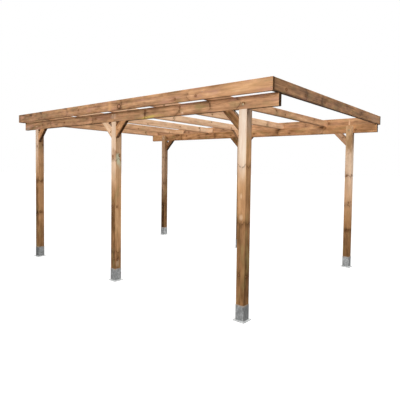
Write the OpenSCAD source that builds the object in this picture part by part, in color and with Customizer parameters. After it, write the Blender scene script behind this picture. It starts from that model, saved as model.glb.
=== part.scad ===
// Open timber carport frame: notched posts in galvanised shoes carry two rows of beams,
// knee braces, seven rafters and two fascia boards.
// Millimetres, Z up, origin on the ground at the middle. X runs across, Y runs along.
// The left row (-X) is the high one and the roof frame falls to the right row (+X).

/* [Overall] */
// Length over the outer faces of the end rafters
total_l = 4700; // [3600:10:6000]
// Width over the outer faces of the fascia boards
total_w = 3020; // [2400:10:3600]
// Clear height under the beams of the high row
clear_h = 2010; // [1800:5:2400]
// How much lower the beams of the low row lie
fall = 20; // [0:1:80]

/* [Posts] */
// Side of the square posts
post_a = 90; // [80:1:120]
// From the end of the frame to the outer side of the end posts
end_overhang = 335; // [200:5:600]
// From the outer face of the fascia to the outer side of the posts
side_overhang = 107; // [80:1:250]
// Air between the post head and the underside of the rafter above it
head_clear = 10; // [5:1:30]
// Edge radius of the posts, beams and braces
arris = 3; // [1:0.5:6]

/* [Beams] */
// Thickness of the beams
beam_t = 45; // [35:1:60]
// Depth of the beams
beam_d = 120; // [95:1:200]
// Open joint where two beams meet over the middle post
splice_gap = 2; // [1:0.5:6]

/* [Rafters] */
// Thickness of the rafters
rafter_t = 28; // [20:1:45]
// Depth of the rafters between the two ends
rafter_d = 95; // [70:1:180]
// Depth of the two end rafters, which stand as high as the fascia boards
end_rafter_d = 120; // [95:1:180]
// Depth of the notch that seats a rafter over a beam
seat_d = 5; // [3:0.5:20]
// Play between the ends of a rafter and the fascia boards
rafter_play = 0.3; // [0.1:0.1:2]

/* [Fascias] */
// Thickness of the fascia boards
fascia_t = 28; // [20:1:45]
// Depth of the fascia boards
fascia_d = 120; // [95:1:180]
// Edge radius of the rafters and fascia boards
board_arris = 2; // [1:0.5:4]

/* [Braces] */
// Thickness of the knee braces
brace_t = 45; // [28:1:60]
// Depth of the knee braces
brace_d = 90; // [45:1:95]
// How far a brace reaches down the post and out along the beam or rafter
brace_leg = 200; // [150:5:400]

/* [Shoes] */
// Height of the sleeve above the base plate
sleeve_h = 150; // [80:5:250]
// Wall of the sleeve
sleeve_t = 2; // [1.5:0.5:5]
// Play between the post and the sleeve
post_play = 0.3; // [0.2:0.1:2]
// Outer radius of the folded sleeve corners
fold_r = 4; // [3:0.5:6]
// Thickness of the base plate
plate_t = 5; // [4:0.5:10]
// Width of the flange around the sleeve
flange_w = 18; // [14:1:40]
// Corner radius of the base plate
plate_r = 6; // [2:0.5:12]
// Diameter of the anchor holes in the flange corners
anchor_d = 9; // [7:0.5:11]

/* [Hidden] */
$fn = 48;
overrun = 1;
left = -1;
right = 1;
to_front = -1;
to_rear = 1;

row_x = total_w / 2 - side_overhang - post_a / 2;
post_pitch = total_l / 2 - end_overhang - post_a / 2;
outer_x = row_x + post_a / 2;
inner_x = row_x - post_a / 2;
beam_x = outer_x - beam_t / 2;
brace_x = outer_x - brace_t / 2;
beam_l = (total_l - splice_gap) / 2;

rafter_count = 7;
rafter_pitch = (total_l - rafter_t) / (rafter_count - 1);
rafter_l = total_w - 2 * (fascia_t + rafter_play);
pitch_tan = fall / (2 * beam_x);
pitch_angle = atan(pitch_tan);
rafter_under_z = clear_h - fall / 2 + beam_d - seat_d;

brace_plumb_d = brace_d / cos(45);
brace_mid = (brace_leg - brace_plumb_d / 2) / 2;

sleeve_in = post_a + 2 * post_play;
sleeve_out = sleeve_in + 2 * sleeve_t;
plate_a = sleeve_out + 2 * flange_w;
anchor_x = plate_a / 2 - flange_w / 2;

timber = [0.62, 0.44, 0.28];
zinc = [0.66, 0.68, 0.70];

// Height of the underside and of the top of the beams in a row
function under_z(side) = clear_h - (side == right ? fall : 0);
function beam_top_z(side) = under_z(side) + beam_d;
// Upright depth of a board that lies at the fall of the roof frame
function plumb(depth) = depth / cos(pitch_angle);
// Height of the top of the end rafters where they meet the fascia of a row
function eave_z(side) = rafter_under_z - side * pitch_tan * rafter_l / 2 + plumb(end_rafter_d);
// Height of the underside of the rafters over the inner side of the posts in a row
function rafter_low_z(side) = rafter_under_z - side * pitch_tan * inner_x;
// Distance of a rafter from the middle, counted from the front
function rafter_y(index) = (index - (rafter_count - 1) / 2) * rafter_pitch;

// Rectangle with true round corners
module round_rectangle(w, d, radius) {
    square([w - 2 * radius, d], center = true);
    square([w, d - 2 * radius], center = true);
    for (x = [-1, 1], y = [-1, 1])
        translate([x * (w / 2 - radius), y * (d / 2 - radius)]) circle(r = radius);
}

// Timber that runs along Y, centred on the origin
module lengthwise(length, w, d, radius) {
    rotate([90, 0, 0]) linear_extrude(length, center = true) round_rectangle(w, d, radius);
}

// Post with its outer part cut back as the seat of the beams and its inner part left as a tongue
module post(side, y) {
    head_z = beam_top_z(side) - seat_d - head_clear;
    seat_h = head_z - under_z(side);
    color(timber) difference() {
        translate([side * row_x, y, plate_t])
            linear_extrude(head_z - plate_t) round_rectangle(post_a, post_a, arris);
        translate([side * (beam_x + overrun / 2), y, under_z(side) + seat_h / 2 + overrun / 2])
            cube([beam_t + overrun, post_a + 2 * overrun, seat_h + overrun], center = true);
    }
}

// Bolt-down shoe: a folded square sleeve on a base plate with an anchor hole in each corner
module shoe(side, y) {
    color(zinc) translate([side * row_x, y, 0]) difference() {
        union() {
            linear_extrude(plate_t) round_rectangle(plate_a, plate_a, plate_r);
            linear_extrude(plate_t + sleeve_h) round_rectangle(sleeve_out, sleeve_out, fold_r);
        }
        translate([0, 0, plate_t])
            linear_extrude(sleeve_h + overrun) round_rectangle(sleeve_in, sleeve_in, fold_r - sleeve_t);
        for (ax = [-1, 1], ay = [-1, 1])
            translate([ax * anchor_x, ay * anchor_x, -overrun])
                cylinder(h = plate_t + 2 * overrun, d = anchor_d);
    }
}

// Half of a row's beam, from the joint over the middle post to the end of the frame
module beam(side, way) {
    color(timber)
        translate([side * beam_x, way * (splice_gap + beam_l) / 2, under_z(side) + beam_d / 2])
            lengthwise(beam_l, beam_t, beam_d, arris);
}

// Timber at 45 degrees that rises along Y, mitred at its foot against the upright plane through the origin
// and at its head against a plane through the origin that may slope
module brace_timber(head_slope) {
    intersection() {
        translate([0, brace_mid, -brace_mid]) rotate([45, 0, 0])
            lengthwise(2 * brace_leg, brace_t, brace_d, arris);
        translate([-brace_t, 0, -2 * brace_leg]) cube([2 * brace_t, 2 * brace_leg, 3 * brace_leg]);
        rotate([head_slope, 0, 0]) translate([-brace_t, -brace_leg, -2 * brace_leg])
            cube([2 * brace_t, 3 * brace_leg, 2 * brace_leg]);
    }
}

// Knee brace between a post and the underside of the beam, flush with the outer side of the post
module brace(side, y, way) {
    color(timber) translate([side * brace_x, y + way * post_a / 2, under_z(side)])
        rotate([0, 0, way == to_front ? 180 : 0]) brace_timber(0);
}

// Knee brace between the inner side of a middle post and the underside of the middle rafter
module cross_brace(side) {
    color(timber) translate([side * inner_x, 0, rafter_low_z(side)])
        rotate([0, 0, side * 90]) brace_timber(side * pitch_angle);
}

// Sloping rafter of a given depth with plumb ends between the fascias, notched to sit over both beams
module rafter(index, depth) {
    y = rafter_y(index);
    color(timber) difference() {
        translate([0, y, rafter_under_z + plumb(depth) / 2]) intersection() {
            rotate([0, pitch_angle, 0]) rotate([0, 0, 90])
                lengthwise(rafter_l + depth, rafter_t, depth, board_arris);
            cube([rafter_l, 2 * rafter_t, 2 * (depth + fall)], center = true);
        }
        for (side = [left, right])
            translate([side * beam_x, y, beam_top_z(side) - beam_d / 2])
                cube([beam_t, 2 * rafter_t, beam_d], center = true);
    }
}

// Fascia board over the ends of the rafters
module fascia(side) {
    color(timber)
        translate([side * (total_w - fascia_t) / 2, 0, eave_z(side) - fascia_d / 2])
            lengthwise(total_l, fascia_t, fascia_d, board_arris);
}

module left_front_shoe() { shoe(left, -post_pitch); }
module left_middle_shoe() { shoe(left, 0); }
module left_rear_shoe() { shoe(left, post_pitch); }
module right_front_shoe() { shoe(right, -post_pitch); }
module right_middle_shoe() { shoe(right, 0); }
module right_rear_shoe() { shoe(right, post_pitch); }

module left_front_post() { post(left, -post_pitch); }
module left_middle_post() { post(left, 0); }
module left_rear_post() { post(left, post_pitch); }
module right_front_post() { post(right, -post_pitch); }
module right_middle_post() { post(right, 0); }
module right_rear_post() { post(right, post_pitch); }

module left_front_beam() { beam(left, to_front); }
module left_rear_beam() { beam(left, to_rear); }
module right_front_beam() { beam(right, to_front); }
module right_rear_beam() { beam(right, to_rear); }

module left_front_brace() { brace(left, -post_pitch, to_rear); }
module left_middle_front_brace() { brace(left, 0, to_front); }
module left_middle_rear_brace() { brace(left, 0, to_rear); }
module left_rear_brace() { brace(left, post_pitch, to_front); }
module right_front_brace() { brace(right, -post_pitch, to_rear); }
module right_middle_front_brace() { brace(right, 0, to_front); }
module right_middle_rear_brace() { brace(right, 0, to_rear); }
module right_rear_brace() { brace(right, post_pitch, to_front); }
module left_cross_brace() { cross_brace(left); }
module right_cross_brace() { cross_brace(right); }

module front_end_rafter() { rafter(0, end_rafter_d); }
module second_rafter() { rafter(1, rafter_d); }
module third_rafter() { rafter(2, rafter_d); }
module middle_rafter() { rafter(3, rafter_d); }
module fifth_rafter() { rafter(4, rafter_d); }
module sixth_rafter() { rafter(5, rafter_d); }
module rear_end_rafter() { rafter(6, end_rafter_d); }

module left_fascia() { fascia(left); }
module right_fascia() { fascia(right); }

left_front_shoe();
left_middle_shoe();
left_rear_shoe();
right_front_shoe();
right_middle_shoe();
right_rear_shoe();
left_front_post();
left_middle_post();
left_rear_post();
right_front_post();
right_middle_post();
right_rear_post();
left_front_beam();
left_rear_beam();
right_front_beam();
right_rear_beam();
left_front_brace();
left_middle_front_brace();
left_middle_rear_brace();
left_rear_brace();
right_front_brace();
right_middle_front_brace();
right_middle_rear_brace();
right_rear_brace();
left_cross_brace();
right_cross_brace();
front_end_rafter();
second_rafter();
third_rafter();
middle_rafter();
fifth_rafter();
sixth_rafter();
rear_end_rafter();
left_fascia();
right_fascia();
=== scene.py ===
# Open timber carport frame: its finishes and fixings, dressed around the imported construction.
import math
import random

import bmesh
import bpy
from mathutils import Euler, Matrix, Vector


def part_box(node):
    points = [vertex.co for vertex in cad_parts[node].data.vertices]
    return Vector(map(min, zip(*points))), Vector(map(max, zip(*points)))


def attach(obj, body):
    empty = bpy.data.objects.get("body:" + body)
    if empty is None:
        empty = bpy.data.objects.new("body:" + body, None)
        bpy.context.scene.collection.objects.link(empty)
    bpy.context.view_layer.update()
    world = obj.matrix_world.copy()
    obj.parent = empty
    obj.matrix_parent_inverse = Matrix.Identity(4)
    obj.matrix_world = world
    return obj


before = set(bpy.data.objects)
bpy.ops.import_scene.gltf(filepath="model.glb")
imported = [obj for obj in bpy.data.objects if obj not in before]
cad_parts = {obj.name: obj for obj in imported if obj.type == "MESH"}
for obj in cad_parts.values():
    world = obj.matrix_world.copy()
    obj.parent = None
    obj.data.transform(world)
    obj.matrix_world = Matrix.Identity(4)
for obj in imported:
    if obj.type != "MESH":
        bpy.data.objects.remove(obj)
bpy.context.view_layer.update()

# Post shoes
# Each shoe is a sleeve folded from sheet steel and welded to a base plate, then dipped in zinc. The weld
# runs round the foot of the sleeve, and two hex-head screws in its rear wall pin the post.
stands = [f"{row}_{station}" for row in ("left", "right") for station in ("front", "middle", "rear")]
plate_t = 0.005
sleeve_w = 0.0946
sleeve_fold = 0.004
weld_leg = 0.004
screw_heights = (0.055, 0.115)
smooth_angle = math.radians(40)
# Heights at which the shoe is painted lighter: painted light on the base plate.
plate_painted_light_heights = (0.012, 0.004)
rim_stain = (0.135, 0.155)
rain_tan = (0.38, 0.27, 0.17, 1)
zinc_greys = ((0.12, 0.120), (0.5, 0.235), (0.9, 0.42))
# How much lighter faces that look up are painted: painted light on the top of the plate.
plate_top_painted_light = 1.8
# Each shoe's brightness on its left and on its other sides: partly dulling of the zinc, partly painted
# light and shade.
zinc_dulling_and_shade = {
    "left_front": (0.86, 0.46), "left_middle": (0.79, 1.10), "left_rear": (0.24, 0.98),
    "right_front": (1.20, 0.52), "right_middle": (1.00, 1.00), "right_rear": (0.80, 1.60),
}


class Strand:
    """One socket of a node tree. Arithmetic adds Math nodes, and make adds any other node."""

    def __init__(self, tree, socket=None):
        self.tree = tree
        self.socket = socket

    def make(self, kind, settings=None, sockets=None, output=0):
        node = self.tree.nodes.new(kind)
        for name, value in (settings or {}).items():
            if name == "stops":
                ramp = node.color_ramp.elements
                while len(ramp) < len(value):
                    ramp.new(0.5)
                for stop, (position, colour) in zip(ramp, value):
                    stop.position = position
                    stop.color = colour
            else:
                setattr(node, name, value)
        for name, value in (sockets or {}).items():
            if isinstance(value, Strand):
                self.tree.links.new(value.socket, node.inputs[name])
            else:
                node.inputs[name].default_value = value
        return Strand(self.tree, node.outputs[output])

    def feed(self, shader, name):
        self.tree.links.new(self.socket, shader.inputs[name])

    def math(self, operation, *others, first=None):
        terms = [self if first is None else first, *others]
        if first is not None:
            terms.append(self)
        return self.make("ShaderNodeMath", {"operation": operation}, dict(enumerate(terms)))

    def __add__(self, other):
        return self.math("ADD", other)

    def __radd__(self, other):
        return self.math("ADD", other)

    def __sub__(self, other):
        return self.math("SUBTRACT", other)

    def __rsub__(self, other):
        return self.math("SUBTRACT", first=other)

    def __mul__(self, other):
        return self.math("MULTIPLY", other)

    def __rmul__(self, other):
        return self.math("MULTIPLY", other)

    def __truediv__(self, other):
        return self.math("DIVIDE", other)

    def __rtruediv__(self, other):
        return self.math("DIVIDE", first=other)

    def __pow__(self, other):
        return self.math("POWER", other)

    def __abs__(self):
        return self.math("ABSOLUTE")

    def smooth(self, start, end):
        sockets = {"Value": self, "From Min": start, "From Max": end}
        return self.make("ShaderNodeMapRange", {"interpolation_type": "SMOOTHSTEP"}, sockets)

    def vector(self, operation, other):
        return self.make("ShaderNodeVectorMath", {"operation": operation}, {0: self, 1: other})

    def length(self):
        return self.make("ShaderNodeVectorMath", {"operation": "LENGTH"}, {0: self}, output="Value")

    def along(self, direction):
        settings = {"operation": "DOT_PRODUCT"}
        return self.make("ShaderNodeVectorMath", settings, {0: self, 1: direction}, output="Value")

    def noise(self, stretch, detail=2.0, roughness=0.5):
        sockets = {"Vector": self.vector("MULTIPLY", stretch), "Scale": 1.0}
        sockets.update({"Detail": detail, "Roughness": roughness})
        return self.make("ShaderNodeTexNoise", None, sockets)

    def ramp(self, stops):
        return self.make("ShaderNodeValToRGB", {"stops": stops}, {"Fac": self})

    def blend(self, other, share):
        sockets = {0: share, 6: self, 7: other}
        return self.make("ShaderNodeMix", {"data_type": "RGBA"}, sockets, output=2)


def new_finish(name):
    """An empty material, its shader, and a strand to start its nodes from."""
    material = bpy.data.materials.new(name)
    material.use_nodes = True
    return material, material.node_tree.nodes["Principled BSDF"], Strand(material.node_tree)


def turned(facing, way):
    """One on faces that look one way, falling to zero on those that look aside."""
    return facing.along(way).smooth(0.45, 0.8)


def zinc_finish(name, left_dulling_and_shade, front_dulling_and_shade, top_painted_light, warmth, metal, roughness):
    """Zinc that has set in flat grey crystals, clouded and run while it was still liquid.

    The shades scale it on its left and on its other sides, partly for its dulling and partly as painted
    light and shade, and on top as painted light. It is also painted lighter at the height of the plate."""
    tones = []
    for position, grey in zinc_greys:
        tones.append((position, (grey, grey * (1 - 0.4 * warmth), grey * (0.97 - warmth), 1)))
    material, shader, start = new_finish(name)
    place = start.make("ShaderNodeTexCoord", output="Object")
    facing = start.make("ShaderNodeNewGeometry", output="Normal")
    looks_left = turned(facing, (-1, 0, 0))
    looks_up = turned(facing, (0, 0, 1))
    crystal = place.make("ShaderNodeTexVoronoi", None, {"Vector": place, "Scale": 95.0}, output="Color")
    spangle = crystal.along((0.5, 0.3, 0.2))
    cloud = place.noise((34, 34, 24), detail=4, roughness=0.65)
    runs = place.noise((75, 75, 9), detail=2)
    tone = 0.5 * spangle + 1.6 * cloud + 0.35 * runs - 0.755
    rim = place.along((0, 0, 1)).smooth(*rim_stain)
    # Painted light: lighter at the height of the base plate.
    plate_painted_light = place.along((0, 0, 1)).smooth(*plate_painted_light_heights)
    # Each side is scaled by its brightness: partly dulling of the zinc, partly painted light and shade.
    shade = front_dulling_and_shade + (left_dulling_and_shade - front_dulling_and_shade) * looks_left
    # Faces that look up are painted lighter: painted light on the top of the plate.
    shade = shade + (top_painted_light - shade) * looks_up
    colour = (tone + 0.3 * plate_painted_light).ramp(tones)
    colour = colour.make("ShaderNodeVectorMath", {"operation": "SCALE"}, {0: colour, "Scale": shade})
    colour = colour.blend(rain_tan, 0.5 * rim * cloud.smooth(0.3, 0.6))
    colour.feed(shader, "Base Color")
    (roughness + 0.3 * (cloud - 0.5) + 0.12 * (spangle - 0.5)).feed(shader, "Roughness")
    shader.inputs["Metallic"].default_value = metal
    relief = {"Strength": 0.25, "Distance": 0.0006, "Height": cloud + 0.4 * spangle}
    start.make("ShaderNodeBump", None, relief).feed(shader, "Normal")
    return material


def dress(node, material):
    """Puts a finish on a part of the construction."""
    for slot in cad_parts[node].material_slots:
        slot.material = material


def new_primitive(add, **size):
    """Adds a primitive with nothing else selected, and returns it in edit mode."""
    bpy.ops.object.select_all(action="DESELECT")
    add(**size)
    bpy.ops.object.mode_set(mode="EDIT")
    return bpy.context.object


def gather(pattern, places):
    """One new piece, made of a copy of the pattern at each place."""
    bpy.ops.object.select_all(action="DESELECT")
    for place in places:
        copy = bpy.data.objects.new(pattern.name, pattern.data.copy())
        copy.data.transform(place)
        bpy.context.collection.objects.link(copy)
        copy.select_set(True)
        bpy.context.view_layer.objects.active = copy
    if len(places) > 1:
        bpy.ops.object.join()
    return bpy.context.view_layer.objects.active


def fix(piece, name, material):
    """Names a metal piece, gives it its finish and ties it to the frame."""
    piece.name = name
    piece.data.materials.clear()
    piece.data.materials.append(material)
    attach(piece, "root")


def aim(point, way):
    """The place of a fixing that stands on a point and looks one way."""
    return Matrix.Translation(point) @ Vector(way).to_track_quat("Z", "Y").to_matrix().to_4x4()


bright_zinc = zinc_finish("bright_zinc", 1.0, 1.0, 1.0, warmth=0.0, metal=0.75, roughness=0.4)

weld = new_primitive(bpy.ops.mesh.primitive_plane_add, size=sleeve_w + 2 * weld_leg)
bpy.ops.mesh.bevel(offset=sleeve_fold + weld_leg, segments=6, affect="VERTICES")
bpy.ops.mesh.select_all(action="SELECT")
for inward_share, upward_share in ((0.3, 0.55), (0.3, 0.3), (0.4, 0.15)):
    bpy.ops.mesh.inset(thickness=inward_share * weld_leg)
    bpy.ops.transform.translate(value=(0, 0, upward_share * weld_leg))
bpy.ops.mesh.delete(type="FACE")
bpy.ops.object.mode_set(mode="OBJECT")
bpy.ops.object.modifier_add(type="SOLIDIFY")
weld.modifiers["Solidify"].thickness = 0.6 * weld_leg
weld.modifiers["Solidify"].offset = -1
bpy.ops.object.modifier_apply(modifier="Solidify")
bpy.ops.object.shade_smooth_by_angle(angle=smooth_angle)

flange_r = 0.0085
flange_t = 0.0018
hex_r = 0.0058
hex_h = 0.0046
flange_size = {"vertices": 28, "radius": flange_r, "depth": flange_t}
hex_screw = new_primitive(bpy.ops.mesh.primitive_cylinder_add, **flange_size)
bpy.ops.mesh.bevel(offset=0.3 * flange_t, segments=2)
hex_at = (0, 0, hex_h / 2)
bpy.ops.mesh.primitive_cylinder_add(vertices=6, radius=hex_r, depth=hex_h, location=hex_at)
bpy.ops.mesh.bevel(offset=0.1 * hex_h, segments=1)
bpy.ops.object.mode_set(mode="OBJECT")

for stand in stands:
    shoe = f"{stand}_shoe"
    shoe_zinc = zinc_finish(
        shoe, *zinc_dulling_and_shade[stand], plate_top_painted_light, warmth=-0.04, metal=0.25, roughness=0.58)
    dress(shoe, shoe_zinc)
    low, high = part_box(shoe)
    middle = (low + high) / 2
    bead = gather(weld, [Matrix.Translation((middle.x, middle.y, plate_t))])
    fix(bead, f"{shoe}_weld", shoe_zinc)
    rear = middle.y + sleeve_w / 2 + flange_t / 2
    screws = gather(hex_screw, [aim((middle.x, rear, plate_t + z), (0, 1, 0)) for z in screw_heights])
    fix(screws, f"{shoe}_screws", bright_zinc)

# Posts
# Six square posts of planed, pressure-treated pine with rounded arrises stand in the shoes. Sun has
# bleached their heads and their feet have stayed dark, and their tone also grows paler towards the head
# as painted light that falls off towards the foot. Rings of knots mark where branches grew.
timber_tones = [
    (0.00, (0.040, 0.016, 0.006, 1)),
    (0.20, (0.165, 0.077, 0.030, 1)),
    (0.45, (0.37, 0.180, 0.077, 1)),
    (0.70, (0.60, 0.306, 0.143, 1)),
    (1.00, (0.86, 0.53, 0.285, 1)),
]
bleached = (0.88, 0.725, 0.59, 1)
knot_heart = (0.36, 0.165, 0.07, 1)
knot_bark = (0.060, 0.020, 0.009, 1)
olive_tint = (0.33, 0.25, 0.10, 1)
rose_tint = (0.50, 0.24, 0.16, 1)
end_brown = (0.16, 0.078, 0.036, 1)
ring_pitch = 0.0052
grain_spread = 9


def reach_to(local, axis, side, along, wide, long):
    """Distance to a spot on the faces across one axis, in half widths and half lengths of it."""
    spot = (0, side, along) if axis == "x" else (side, 0, along)
    spread = (0, 1 / wide, 1 / long) if axis == "x" else (1 / wide, 0, 1 / long)
    return local.vector("SUBTRACT", spot).vector("MULTIPLY", spread).length()


def pine(node, turn, half, pith, weather, knots, arcs=(), patches=(), *, flush, figure=1.0,
         cast=(1, 1, 1), drip_and_shade=0.0, ends=end_brown, middle=None):
    """Planed pine whose grain runs along z after the turn, with its heart at pith in the section.

    A knot is (axis, side, along, radius). An arc is (along, bow, step), and marks where a ring of
    branches closed over. A patch is (axis, side, along, half width, half length, colour, share).
    The flush is how rosy the wood is in places, the figure how strongly its grain shows, the cast
    how light has shifted its red, green and blue, and the drip how far its lower edge and underside
    are darkened, partly by rain and partly as painted shade. The ends are the colour of its end grain,
    the half is half of its section each way, and the middle is its centre where that isn't the centre
    of its box."""
    material, shader, start = new_finish(node)
    low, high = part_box(node)
    place = start.make("ShaderNodeTexCoord", output="Object")
    facing = start.make("ShaderNodeNewGeometry", output="Normal")
    sockets = {"Vector": place, "Location": middle or (low + high) / 2, "Rotation": turn}
    local = start.make("ShaderNodeMapping", {"vector_type": "TEXTURE"}, sockets)
    chance = random.Random(node)
    shift = tuple(chance.uniform(-grain_spread, grain_spread) for _ in "xyz")
    grain = local.vector("ADD", shift)
    sawn_end = abs(facing.along(Euler(turn).to_matrix() @ Vector((0, 0, 1)))).smooth(0.6, 0.9)
    from_arris = abs(local.along((1, 0, 0))) - half[0] + abs(local.along((0, 1, 0))) - half[1]
    arris = from_arris.smooth(-0.009, -0.001)
    margin = from_arris.smooth(-0.030, -0.004)

    # Growth rings that wander along the grain and flow round the knots
    reach = None
    for axis, side, along, radius in knots:
        spot = reach_to(local, axis, side, along, radius, 1.25 * radius)
        reach = spot if reach is None else reach.math("MINIMUM", spot)
    swirl = 1 / (1 + reach * reach)
    heart = local.vector("SUBTRACT", (*pith, 0)).vector("MULTIPLY", (1, 1, 0)).length()
    growth = heart / ring_pitch + 7 * grain.noise((3, 3, 0.8), detail=1) + 4 * swirl
    late_wood = growth.math("FRACT") ** 2.5

    # Streaks of fibre, broad patches, and fine drying splits
    band = grain.noise((30, 30, 1.2), detail=2) - 0.5
    streak = grain.noise((75, 75, 6), detail=4, roughness=0.65) - 0.5
    fibre = grain.noise((230, 230, 5), detail=2) - 0.5
    cloud = grain.noise((15, 15, 7), detail=3, roughness=0.55) - 0.5
    split = abs(grain.noise((24, 24, 0.5), detail=1) - 0.5).smooth(0.010, 0.002)
    split = split * grain.noise((9, 9, 1.6), detail=1).smooth(0.52, 0.62)

    tone, bleach = weather(place, facing)
    tone = tone + figure * (0.6 * band + 0.6 * streak + 0.85 * cloud) + 0.35 * fibre - 0.12 * late_wood
    # The splits are painted darker: painted shade inside the cracks.
    tone = tone - 0.28 * swirl - 0.25 * split + 0.05 * arris - 0.12 * sawn_end
    # The lower edge and underside are darkened: partly rain staining, partly painted shade.
    if drip_and_shade:
        down = Euler(turn).to_matrix().transposed() @ Vector((0, 0, -1))
        down = Vector((round(down.x), round(down.y), 0))
        edge = abs(down.x) * half[0] + abs(down.y) * half[1]
        lower_edge_darkening = (local.along(down) + 0.03 * cloud).smooth(edge - 0.020, edge - 0.001)
        tone = tone - drip_and_shade * lower_edge_darkening
    scar = None
    bulge = local.vector("MULTIPLY", (1 / half[0], 1 / half[1], 0)).length()
    ragged = grain.noise((30, 30, 9), detail=2) - 0.5
    broken = grain.noise((38, 38, 2), detail=1).smooth(0.34, 0.52)
    for along, bow, step in arcs:
        offset = local.along((0, 0, 1)) - along - 2.4 * bow * (bulge * bulge - 1) + 0.06 * ragged
        line = abs(offset).smooth(0.012, 0.001) * broken
        scar = line if scar is None else scar.math("MAXIMUM", line)
        tone = tone + step * offset.smooth(-0.02, 0.02) - 0.12 * abs(offset).smooth(0.06, 0.0)
    colour = tone.ramp(timber_tones)
    colour = colour.blend(olive_tint, grain.noise((15, 15, 5), detail=2).smooth(0.52, 0.75) * 0.4)
    colour = colour.blend(rose_tint, grain.noise((17, 17, 4.5), detail=2).smooth(0.5, 0.25) * flush)
    colour = colour.vector("MULTIPLY", cast)
    worn = 1 + 1.2 * band + 1.2 * streak - 0.5 * swirl - 0.3 * margin
    colour = colour.blend(bleached, bleach * worn)
    for axis, side, along, wide, long, patch, share in patches:
        spot = reach_to(local, axis, side, along, wide, long)
        spot = spot + 2.6 * cloud + 1.6 * ragged + 1.2 * streak
        colour = colour.blend(patch, spot.smooth(1.25, 0.2) * share)
    if scar is not None:
        colour = colour.blend(knot_bark, scar * 0.5)
    colour = colour.blend(knot_heart, reach.smooth(1.1, 0.8) * 0.6)
    colour = colour.blend(knot_bark, reach.smooth(0.55, 0.9) * reach.smooth(1.35, 1.0) * 0.75)
    colour = colour.blend(ends, sawn_end * (0.9 + 0.1 * late_wood))
    colour.feed(shader, "Base Color")
    (0.85 + 0.25 * fibre - 0.12 * late_wood).feed(shader, "Roughness")
    shader.inputs["Specular IOR Level"].default_value = 0.03
    height = 0.35 * late_wood + 0.8 * fibre - 1.5 * split - 0.6 * reach.smooth(1.3, 1.0)
    relief = {"Strength": 0.45, "Distance": 0.0009, "Height": height}
    start.make("ShaderNodeBump", None, relief).feed(shader, "Normal")
    dress(node, material)


def weather_and_painted_falloff(left, front):
    """Weather on a post, and painted light and shade, on its left and on its other sides.

    A side is its tone at foot and head, which rises towards the head partly as painted light that
    falls off towards the foot, the heights that the tone changes between, its bleaching, the heights
    that the bleaching grows between, and how far the roof shelters its head, which also stands for
    painted shade under the roof."""
    def weather(place, facing):
        z = place.along((0, 0, 1))
        sides = []
        for foot, head, low, high, bleach, pale_low, pale_high, shelter_and_shade in (left, front):
            # Paler towards the head: partly weathering, partly painted light falling off towards the
            # foot.
            tone = foot + (head - foot) * z.smooth(low, high)
            # Less bleaching under the roof: partly shelter from the sun, partly painted shade.
            open_sky_and_light = 1 - shelter_and_shade * z.smooth(*shelter_and_shade_heights)
            sides.append((tone, bleach * z.smooth(pale_low, pale_high) * open_sky_and_light))
        (left_tone, left_bleach), (front_tone, front_bleach) = sides
        looks_left = turned(facing, (-1, 0, 0))
        tone = front_tone + looks_left * (left_tone - front_tone)
        return tone, front_bleach + looks_left * (left_bleach - front_bleach)
    return weather


def whorl_knots(heights, middle_z, seed):
    """A ring of branch knots round a post at each height."""
    chance = random.Random(seed)
    knots = []
    for height in heights:
        for axis in "xy":
            side = chance.uniform(-0.025, 0.025)
            rise = chance.uniform(-0.02, 0.02)
            knots.append((axis, side, height + rise - middle_z, chance.uniform(0.009, 0.014)))
    return knots


post_half = (0.045, 0.045)
post_cast = (0.94, 1.0, 1.02)
# Heights over which the roof keeps the heads from bleaching: partly real shelter, partly painted shade.
shelter_and_shade_heights = (1.6, 1.95)
post_piths = {
    "left_front": (0.011, 0.018), "left_middle": (-0.008, 0.015), "left_rear": (0.02, -0.01),
    "right_front": (0.005, 0.022), "right_middle": (-0.014, 0.006), "right_rear": (0.012, -0.018),
}
post_whorls = {
    "left_front": (0.43,),
    "left_middle": (0.27, 0.93, 1.60),
    "left_rear": (0.70, 1.19, 1.75),
    "right_front": (0.55, 0.95, 1.36),
    "right_middle": (0.35, 0.85, 1.45),
    "right_rear": (0.6, 1.1, 1.65),
}
post_arcs = {
    "left_front": [(1.465, 0.016, 0.06), (0.93, 0.012, 0.10)],
    "left_middle": [(0.36, 0.012, 0.04), (1.55, -0.015, 0.0)],
    "left_rear": [(0.70, -0.010, 0.0), (1.195, 0.010, 0.0)],
    "right_front": [(0.55, 0.008, 0.08), (0.93, -0.01, 0.03), (1.37, -0.012, 0.03)],
}
whorl_pale = (0.82, 0.60, 0.40, 1)
whorl_dark = (0.36, 0.18, 0.08, 1)
shade_brown = (0.13, 0.062, 0.024, 1)
golden_brown = (0.38, 0.215, 0.095, 1)
lichen = (0.66, 0.66, 0.46, 1)
post_patches = {
    "left_front": [
        ("x", -0.005, 0.995, 0.022, 0.028, whorl_pale, 0.45),
        ("x", 0.004, 1.19, 0.009, 0.03, whorl_pale, 0.6),
    ],
    "left_middle": [
        ("x", 0.0, 1.585, 0.06, 0.085, whorl_dark, 0.85),
        ("x", 0.012, 0.74, 0.032, 0.24, shade_brown, 0.9),
        ("y", -0.002, 1.525, 0.038, 0.085, lichen, 0.95),
        ("y", -0.01, 0.22, 0.025, 0.05, whorl_pale, 0.3),
    ],
    "right_front": [("x", 0.0, 1.88, 0.07, 0.15, golden_brown, 0.75)],
}
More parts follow.
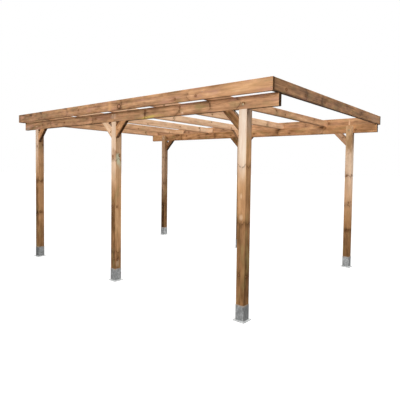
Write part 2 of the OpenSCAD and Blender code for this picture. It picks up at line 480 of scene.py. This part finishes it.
post_weather = {
    "left_front": weather_and_painted_falloff(
        (0.37, 0.72, 0.74, 1.45, 0.88, 1.24, 1.62, 0.0),
        (0.25, 0.47, 0.25, 1.75, 0.45, 1.65, 1.98, 0.0)),
    "left_middle": weather_and_painted_falloff(
        (0.28, 0.76, 0.80, 1.60, 0.50, 1.05, 1.60, 0.0),
        (0.40, 0.73, 0.15, 0.80, 0.12, 1.1, 1.6, 0.0)),
    "left_rear": weather_and_painted_falloff(
        (0.24, 0.62, 0.66, 1.60, 0.42, 1.15, 1.80, 0.0),
        (0.38, 0.64, 0.30, 0.80, 0.05, 1.2, 1.8, 0.0)),
    "right_front": weather_and_painted_falloff(
        (0.30, 0.69, 0.25, 1.40, 0.42, 0.70, 1.55, 0.9),
        (0.31, 0.62, 0.30, 1.20, 0.56, 0.60, 1.5, 0.6)),
    "right_middle": weather_and_painted_falloff(
        (0.20, 0.60, 0.50, 1.60, 0.30, 1.00, 1.70, 0.8),
        (0.34, 0.60, 0.40, 1.40, 0.30, 0.9, 1.6, 0.4)),
    "right_rear": weather_and_painted_falloff(
        (0.06, 0.53, 0.42, 1.60, 0.24, 0.60, 1.60, 0.4),
        (0.32, 0.42, 0.45, 1.60, 0.13, 0.6, 1.6, 0.8)),
}
for seed, stand in enumerate(stands):
    post = f"{stand}_post"
    low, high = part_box(post)
    middle_z = (low.z + high.z) / 2
    knots = whorl_knots(post_whorls[stand], middle_z, seed)
    arcs = [(height - middle_z, bow, step) for height, bow, step in post_arcs.get(stand, ())]
    patches = [(*spot[:2], spot[2] - middle_z, *spot[3:]) for spot in post_patches.get(stand, ())]
    pine(post, (0, 0, 0), post_half, post_piths[stand], post_weather[stand], knots, arcs, patches,
         figure=0.55, flush=0.1, cast=post_cast)

# Beams
# Each row has two lengths of planed pine that meet over the middle post, set in the notches of the post
# heads. Zinc-plated coach bolts go through beam and tongue, with the nut and washer on the inner side.
lengthwise_turn = (-math.pi / 2, 0, 0)
beam_half = (0.0225, 0.06)
beam_depth = 2 * beam_half[1]
beam_run = 2.3
beam_pith = (0.03, -0.05)
beam_end = (0.020, 0.011, 0.006, 1)
yellow_strip = (0.62, 0.44, 0.13, 1)
pale_spot = (0.88, 0.62, 0.40, 1)
brown_patch = (0.22, 0.10, 0.045, 1)
red_brown = (0.33, 0.155, 0.09, 1)
weathered_pale = (0.56, 0.42, 0.33, 1)
row_flush = {"left": 0.65, "right": 0.25}


def even(tone, lean=0.0, bleach=0.0):
    """Weather on a board: one tone that leans lighter towards the front, and an even bleaching."""
    def weather(place, facing):
        return tone - lean * place.along((0, 1, 0)), bleach
    return weather


def chance_knots(length, depth, count, seed):
    """Knots spread along a board that stands on edge, by a seeded chance."""
    chance = random.Random(seed)
    knots = []
    for index in range(count):
        along = ((index + chance.uniform(0.2, 0.8)) / count - 0.5) * length
        knots.append(("x", chance.uniform(-0.3, 0.3) * depth, along, chance.uniform(0.008, 0.013)))
    return knots


def on_board(node, spots):
    """Spots on a board along Y, moved from y and z in the frame to side and along on it."""
    low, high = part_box(node)
    middle = (low + high) / 2
    return [("x", middle.z - z, y - middle.y, *rest) for y, z, *rest in spots]


beam_knots = {
    "left_front_beam": on_board("left_front_beam", [
        (-1.976, 2.064, 0.012), (-1.15, 2.10, 0.010), (-0.595, 2.10, 0.010),
    ]),
    "left_rear_beam": chance_knots(beam_run, beam_depth, count=3, seed=11),
    "right_front_beam": chance_knots(beam_run, beam_depth, count=4, seed=12),
    "right_rear_beam": chance_knots(beam_run, beam_depth, count=4, seed=13),
}
beam_arcs = {
    "left_front_beam": [
        (-1.147, 0.03, -0.03), (-0.59, -0.03, 0.04), (-1.57, 0.015, 0.0), (-1.93, 0.02, 0.03),
    ],
    "left_rear_beam": [(0.45, 0.02, 0.03), (1.55, -0.02, -0.03)],
    "right_front_beam": [(-1.55, 0.02, 0.04), (-0.75, -0.02, -0.04)],
    "right_rear_beam": [(0.6, 0.02, 0.03), (1.5, -0.02, 0.0)],
}
beam_patches = {
    "left_front_beam": on_board("left_front_beam", [
        (-0.73, 2.026, 0.017, 0.16, yellow_strip, 1.0),
        (-1.19, 2.035, 0.018, 0.025, pale_spot, 0.7),
        (-1.884, 2.065, 0.022, 0.03, brown_patch, 0.5),
        (-1.43, 2.072, 0.032, 0.11, olive_tint, 0.6),
        (-0.02, 2.068, 0.03, 0.035, weathered_pale, 0.4),
        (-0.588, 2.075, 0.055, 0.013, knot_bark, 0.6),
        (-1.147, 2.075, 0.050, 0.013, knot_bark, 0.55),
        (-1.57, 2.080, 0.045, 0.011, knot_bark, 0.4),
    ]),
    "left_rear_beam": on_board("left_rear_beam", [
        (0.16, 2.08, 0.06, 0.16, red_brown, 0.5),
        (0.02, 2.068, 0.03, 0.035, weathered_pale, 0.4),
        (2.27, 2.03, 0.05, 0.09, weathered_pale, 0.35),
    ]),
}
beam_tones = {
    "left_front_beam": even(0.51, lean=0.02, bleach=0.07),
    "left_rear_beam": even(0.49, lean=0.03, bleach=0.07),
    "right_front_beam": even(0.66),
    "right_rear_beam": even(0.60, lean=0.03),
}
for beam, knots in beam_knots.items():
    low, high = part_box(beam)
    arcs = [(y - (low.y + high.y) / 2, bow, step) for y, bow, step in beam_arcs[beam]]
    patches = beam_patches.get(beam, ())
    row = beam.split("_")[0]
    pine(beam, lengthwise_turn, beam_half, beam_pith, beam_tones[beam], knots, arcs, patches,
         flush=row_flush[row], drip_and_shade=0.12, ends=beam_end)

dome_r = 0.0105
dome_h = 0.005
ball_r = (dome_r ** 2 + dome_h ** 2) / (2 * dome_h)
dome_size = {"segments": 28, "ring_count": 20, "radius": ball_r, "location": (0, 0, dome_h - ball_r)}
dome = new_primitive(bpy.ops.mesh.primitive_uv_sphere_add, **dome_size)
bpy.ops.mesh.bisect(plane_co=(0, 0, 0), plane_no=(0, 0, 1), clear_inner=True, use_fill=True)
bpy.ops.object.mode_set(mode="OBJECT")
bpy.ops.object.transform_apply()
bpy.ops.object.shade_smooth_by_angle(angle=smooth_angle)

washer_r = 0.0125
washer_t = 0.002
nut_r = 0.0098
nut_h = 0.008
shank_r = 0.005
shank_h = 0.013
washer_at = (0, 0, washer_t / 2)
nut_at = (0, 0, washer_t + nut_h / 2)
shank_at = (0, 0, shank_h / 2)
washer_size = {"vertices": 28, "radius": washer_r, "depth": washer_t, "location": washer_at}
nut = new_primitive(bpy.ops.mesh.primitive_cylinder_add, **washer_size)
bpy.ops.mesh.bevel(offset=0.2 * washer_t, segments=2)
bpy.ops.mesh.primitive_cylinder_add(vertices=6, radius=nut_r, depth=nut_h, location=nut_at)
bpy.ops.mesh.bevel(offset=0.08 * nut_h, segments=2)
bpy.ops.mesh.primitive_cylinder_add(vertices=18, radius=shank_r, depth=shank_h, location=shank_at)
bpy.ops.mesh.bevel(offset=0.06 * shank_h, segments=2)
bpy.ops.object.mode_set(mode="OBJECT")
bpy.ops.object.transform_apply()

bolt_rises = {"front": 0.043, "middle": 0.085, "rear": 0.043}
splice_bolt_y = 0.023
bolt_shades = (2.1, 2.1, 2.1)
bolt_zinc = zinc_finish("bolt_zinc", *bolt_shades, warmth=0.5, metal=0.1, roughness=0.5)
for stand in stands:
    row, station = stand.split("_")
    outward = -1 if row == "left" else 1
    low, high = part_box(f"{stand}_post")
    under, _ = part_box(f"{row}_front_beam")
    middle_y = (low.y + high.y) / 2
    outer_x, inner_x = (low.x, high.x) if row == "left" else (high.x, low.x)
    bolt_ys = (-splice_bolt_y, splice_bolt_y) if station == "middle" else (middle_y,)
    bolt_z = under.z + bolt_rises[station]
    heads = gather(dome, [aim((outer_x, y, bolt_z), (outward, 0, 0)) for y in bolt_ys])
    fix(heads, f"{stand}_bolt_heads", bolt_zinc)
    nuts = gather(nut, [aim((inner_x, y, bolt_z), (-outward, 0, 0)) for y in bolt_ys])
    fix(nuts, f"{stand}_bolt_nuts", bolt_zinc)

# Knee braces
# Short lengths of pine, mitred against the post and the underside of the beam, stiffen both rows. One
# more on each middle post runs across, up to the rafter over it. Two screws near either end hold each
# brace, driven up through its lower face.
brace_half = (0.0225, 0.045)
brace_pith = (0.01, 0.05)
brace_leg = 0.20
screw_from_end = 0.05
screw_spread = 0.011
head_r = 0.0047
head_h = 0.0016
head_bevel = 0.2 * head_h
socket_r = 0.0021
socket_h = 0.6 * head_h
# How much paler the upper sides of braces are painted: painted light.
upper_painted_light = 0.7

screw = new_primitive(bpy.ops.mesh.primitive_cylinder_add, vertices=24, radius=head_r, depth=head_h)
bpy.ops.mesh.bevel(offset=head_bevel, segments=2)
bpy.ops.mesh.select_all(action="DESELECT")
shape = bmesh.from_edit_mesh(screw.data)
for face in shape.faces:
    face.select_set(face.normal.z > 0.99)
bpy.ops.mesh.inset(thickness=head_r - head_bevel - socket_r)
bpy.ops.mesh.extrude_region_move(TRANSFORM_OT_translate={"value": (0, 0, -socket_h)})
bpy.ops.object.mode_set(mode="OBJECT")

brace_ways = {
    "front": (0, 1),
    "middle_front": (0, -1),
    "middle_rear": (0, 1),
    "rear": (0, -1),
    "cross": (1, 0),
}
brace_tones = {
    "left": {
        "front": (0.35, 0.0),
        "middle_front": (0.66, 0.0),
        "middle_rear": (0.88, 0.3),
        "rear": (0.60, 0.0),
        "cross": (0.62, 0.0),
    },
    "right": {
        "front": (0.72, 0.12),
        "middle_front": (0.58, 0.0),
        "middle_rear": (0.42, 0.0),
        "rear": (0.32, 0.0),
        "cross": (0.76, 0.1),
    },
}


def bleached_with_painted_top_light(tone, bleach):
    """Weather on a brace: an even tone and bleaching, with painted light that makes its upper side
    paler.
    """
    def weather(place, facing):
        return tone, bleach + upper_painted_light * facing.along((0, 0, 1)).smooth(0.4, 0.65)
    return weather


braces = [(row, spot) for row in brace_tones for spot in brace_ways]
for seed, (row, spot) in enumerate(braces, start=40):
    brace = f"{row}_{spot}_brace"
    low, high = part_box(brace)
    lower_edge = (low + high) / 2
    across, lengthwise = brace_ways[spot]
    inward = across if row == "left" else -across
    along = Vector((inward, lengthwise, 1)).normalized()
    below = Vector((inward, lengthwise, -1)).normalized()
    chance = random.Random(seed)
    axis = "y" if across else "x"
    knot_side = chance.uniform(-0.02, 0.02)
    knot_along = chance.uniform(-0.08, 0.08)
    knot = (axis, knot_side, knot_along, chance.uniform(0.007, 0.011))
    turn = (-lengthwise * math.pi / 4, inward * math.pi / 4, 0)
    half = brace_half[::-1] if across else brace_half
    middle = lower_edge - brace_half[1] * below
    weather = bleached_with_painted_top_light(*brace_tones[row][spot])
    pine(brace, turn, half, brace_pith, weather, [knot], flush=0.35, drip_and_shade=0.22, middle=middle)
    run = brace_leg / math.sqrt(2) - screw_from_end
    places = []
    for end in (-run, run):
        for side in (-screw_spread, screw_spread):
            point = lower_edge + end * along + side * Vector((lengthwise, inward, 0))
            places.append(aim(point, below))
    fix(gather(screw, places), f"{brace}_screws", bright_zinc)

# Rafters
# Seven pine boards on edge cross the frame, notched over both beams and falling slightly to the right.
# The two end ones are deeper. The front one has greyed, and the inner ones have stayed pale.
rafter_half = (0.0475, 0.014)
end_rafter_half = (0.06, 0.014)
rafter_pith = (0.07, 0.03)
row_drop = 0.020
row_spacing = 2.761
rafter_fall = math.atan2(row_drop, row_spacing)
crosswise_turn = (0, math.pi / 2 + rafter_fall, 0)
grey_patch = (0.235, 0.14, 0.092, 1)
pale_grey = (0.46, 0.28, 0.18, 1)
rafter_tones = {
    "front_end_rafter": (0.335, 0.06),
    "second_rafter": (0.66, 0.10),
    "third_rafter": (0.84, 0.20),
    "middle_rafter": (0.98, 0.28),
    "fifth_rafter": (0.92, 0.26),
    "sixth_rafter": (0.74, 0.11),
    "rear_end_rafter": (0.66, 0.10),
}
rafter_halves = {}
for rafter in rafter_tones:
    rafter_halves[rafter] = end_rafter_half if rafter.endswith("end_rafter") else rafter_half
knot_pitch = 0.72
arc_past_knot = 0.02
front_knots = [
    ("y", 0.015, -1.272, 0.013),
    ("y", 0.012, -0.883, 0.012),
    ("y", 0.016, -0.435, 0.011),
    ("y", -0.01, 0.7, 0.010),
]
for seed, (rafter, (tone, bleach)) in enumerate(rafter_tones.items(), start=70):
    chance = random.Random(seed)
    knots = []
    arcs = []
    for place in (-1.5, -0.5, 0.5, 1.5):
        along = (place + chance.uniform(-0.35, 0.35)) * knot_pitch
        knots.append(("y", chance.uniform(-0.03, 0.03), along, chance.uniform(0.007, 0.011)))
        bow = chance.uniform(-0.02, 0.02)
        arcs.append((along + arc_past_knot, bow, chance.uniform(-0.05, 0.05)))
    arcs = chance.sample(arcs, 2)
    patches = []
    if rafter == "front_end_rafter":
        knots = front_knots
        patches = [("y", 0, along, 0.07, 0.35, grey_patch, 0.3) for along in (-0.9, 0.0, 0.6)]
        patches.append(("y", 0, 1.25, 0.09, 0.3, pale_grey, 0.5))
    weather = even(tone, bleach=bleach)
    pine(rafter, crosswise_turn, rafter_halves[rafter], rafter_pith, weather, knots, arcs, patches,
         flush=0.25, figure=0.9, drip_and_shade=0.30)

# Fascia boards
# One long pine board closes the rafter ends on each side, level with the tops of the end rafters. Two
# screws hold it to the end of every rafter.
fascia_half = (0.014, 0.06)
fascia_pith = (0.04, 0.02)
fascia_tones = {"left": 0.58, "right": 0.50}
orange_band = (0.74, 0.43, 0.20, 1)
rose_pale = (0.66, 0.38, 0.28, 1)
fascia_screw_rise = 0.028
fascia_screw_sink = 0.3 * head_h
fascia_end = (0.045, 0.018, 0.006, 1)
fascia_spots = {
    "left_fascia": [
        (-0.245, 2.168, 0.024), (-1.183, 2.161, 0.011), (-1.47, 2.168, 0.010),
        (0.62, 2.19, 0.010), (1.932, 2.205, 0.009),
    ],
    "right_fascia": [
        (-1.589, 2.164, 0.014), (-0.7, 2.15, 0.009), (0.5, 2.18, 0.010), (1.4, 2.16, 0.010),
    ],
}
fascia_bands = {
    "left_fascia": [
        (-0.064, 2.186, 0.10, 0.046, orange_band, 0.55),
        (-0.245, 2.168, 0.020, 0.022, rose_pale, 0.8),
        (-2.05, 2.19, 0.05, 0.25, orange_band, 0.35),
        (-1.15, 2.150, 0.036, 0.045, red_brown, 0.75),
        (-1.47, 2.165, 0.028, 0.018, red_brown, 0.55),
    ],
    "right_fascia": [(-1.909, 2.164, 0.09, 0.011, pale_spot, 0.7)],
}
fascia_arcs = {
    "left_fascia": [(-0.30, 0.02, 0.0), (-1.35, -0.02, -0.05), (0.9, 0.02, -0.03), (1.6, 0.02, -0.02)],
    "right_fascia": [(-1.2, 0.02, 0.03), (0.3, 0.02, -0.03), (1.5, -0.02, 0.03)],
}
for fascia, spots in fascia_spots.items():
    low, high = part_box(fascia)
    row = fascia.split("_")[0]
    weather = even(fascia_tones[row], lean=0.05, bleach=0.07)
    knots = on_board(fascia, spots)
    patches = on_board(fascia, fascia_bands[fascia])
    pine(fascia, lengthwise_turn, fascia_half, fascia_pith, weather, knots, fascia_arcs[fascia], patches,
         flush=row_flush[row], drip_and_shade=0.1, ends=fascia_end)
    outward = -1 if row == "left" else 1
    outer_x = low.x if row == "left" else high.x
    places = []
    for rafter in rafter_tones:
        rafter_low, rafter_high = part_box(rafter)
        y = (rafter_low.y + rafter_high.y) / 2
        half_depth = rafter_halves[rafter][0]
        under = rafter_high.z - 2 * half_depth if row == "left" else rafter_low.z
        for rise in (-fascia_screw_rise, fascia_screw_rise):
            point = (outer_x - outward * fascia_screw_sink, y, under + half_depth + rise)
            places.append(aim(point, (outward, 0, 0)))
    fix(gather(screw, places), f"{fascia}_screws", bright_zinc)

for pattern in (weld, hex_screw, dome, nut, screw):
    bpy.data.objects.remove(pattern)

# Studio
# A pale floor that shows white and keeps a faint shadow, soft lamps from the left and from the front, a
# weaker one from behind on the right, and an even sky. The camera stands at the front left.
floor_r = 60.0
floor_pale = (0.26, 0.26, 0.26, 1)
floor_glow = 0.85
floor_bounce = (0.05, 0.045, 0.04, 1)
white = (1, 1, 1, 1)
sky_strength = 0.36


def seen_directly(start):
    """One for rays that show the backdrop itself, zero for rays that only carry its light."""
    shown = start.make("ShaderNodeLightPath", output="Is Camera Ray")
    for kind in ("Glossy", "Transmission"):
        shown = shown.math("MAXIMUM", start.make("ShaderNodeLightPath", output=f"Is {kind} Ray"))
    return shown


floor = new_primitive(bpy.ops.mesh.primitive_circle_add, vertices=96, radius=floor_r, fill_type="NGON")
bpy.ops.mesh.inset(thickness=0.9 * floor_r)
bpy.ops.object.mode_set(mode="OBJECT")
floor.name = "floor"
floor_finish, _, start = new_finish("floor_finish")
lit = start.make("ShaderNodeBsdfDiffuse", None, {"Color": floor_pale})
glow = start.make("ShaderNodeEmission", None, {"Color": white, "Strength": floor_glow})
shown = start.make("ShaderNodeAddShader", None, {0: lit, 1: glow})
bounce = start.make("ShaderNodeBsdfDiffuse", None, {"Color": floor_bounce})
surface = start.make("ShaderNodeMixShader", None, {0: seen_directly(start), 1: bounce, 2: shown})
surface.feed(floor_finish.node_tree.nodes["Material Output"], "Surface")
floor.data.materials.append(floor_finish)

world = bpy.data.worlds.new("studio")
bpy.context.scene.world = world
world.use_nodes = True
start = Strand(world.node_tree)
strength = sky_strength + (1 - sky_strength) * seen_directly(start)
strength.feed(world.node_tree.nodes["Background"], "Strength")
world.node_tree.nodes["Background"].inputs["Color"].default_value = white

lamps = {
    "side": ((-0.97, -0.10, 0.14), 2.55, 26),
    "front": ((-0.10, -0.68, 0.73), 2.6, 46),
    "rear_fill": ((0.62, 0.66, 0.42), 1.0, 50),
}
for name, (from_way, strength, spread) in lamps.items():
    bpy.ops.object.light_add(type="SUN", rotation=Vector(from_way).to_track_quat("Z", "Y").to_euler())
    lamp = bpy.context.object
    lamp.name = name
    lamp.data.energy = strength
    lamp.data.angle = math.radians(spread)

picture_px = 400
focal_px = 390.34
centre_px = (212.35, 181.61)
eye = Vector((-4.4107, -4.0833, 1.4775))
heading, dip, tilt = (math.radians(angle) for angle in (50.614, -2.322, 0.828))
ahead = Vector((math.sin(heading) * math.cos(dip), math.cos(heading) * math.cos(dip), math.sin(dip)))
level_right = Vector((math.cos(heading), -math.sin(heading), 0))
level_up = level_right.cross(ahead)
right = math.cos(tilt) * level_right + math.sin(tilt) * level_up
up = math.cos(tilt) * level_up - math.sin(tilt) * level_right
bpy.ops.object.camera_add()
camera = bpy.context.object
camera.matrix_world = Matrix.Translation(eye) @ Matrix((right, up, -ahead)).transposed().to_4x4()
camera.data.lens = focal_px / picture_px * camera.data.sensor_width
camera.data.shift_x = (picture_px / 2 - centre_px[0]) / picture_px
camera.data.shift_y = (centre_px[1] - picture_px / 2) / picture_px
bpy.context.scene.camera = camera
bpy.context.scene.view_settings.view_transform = "Standard"
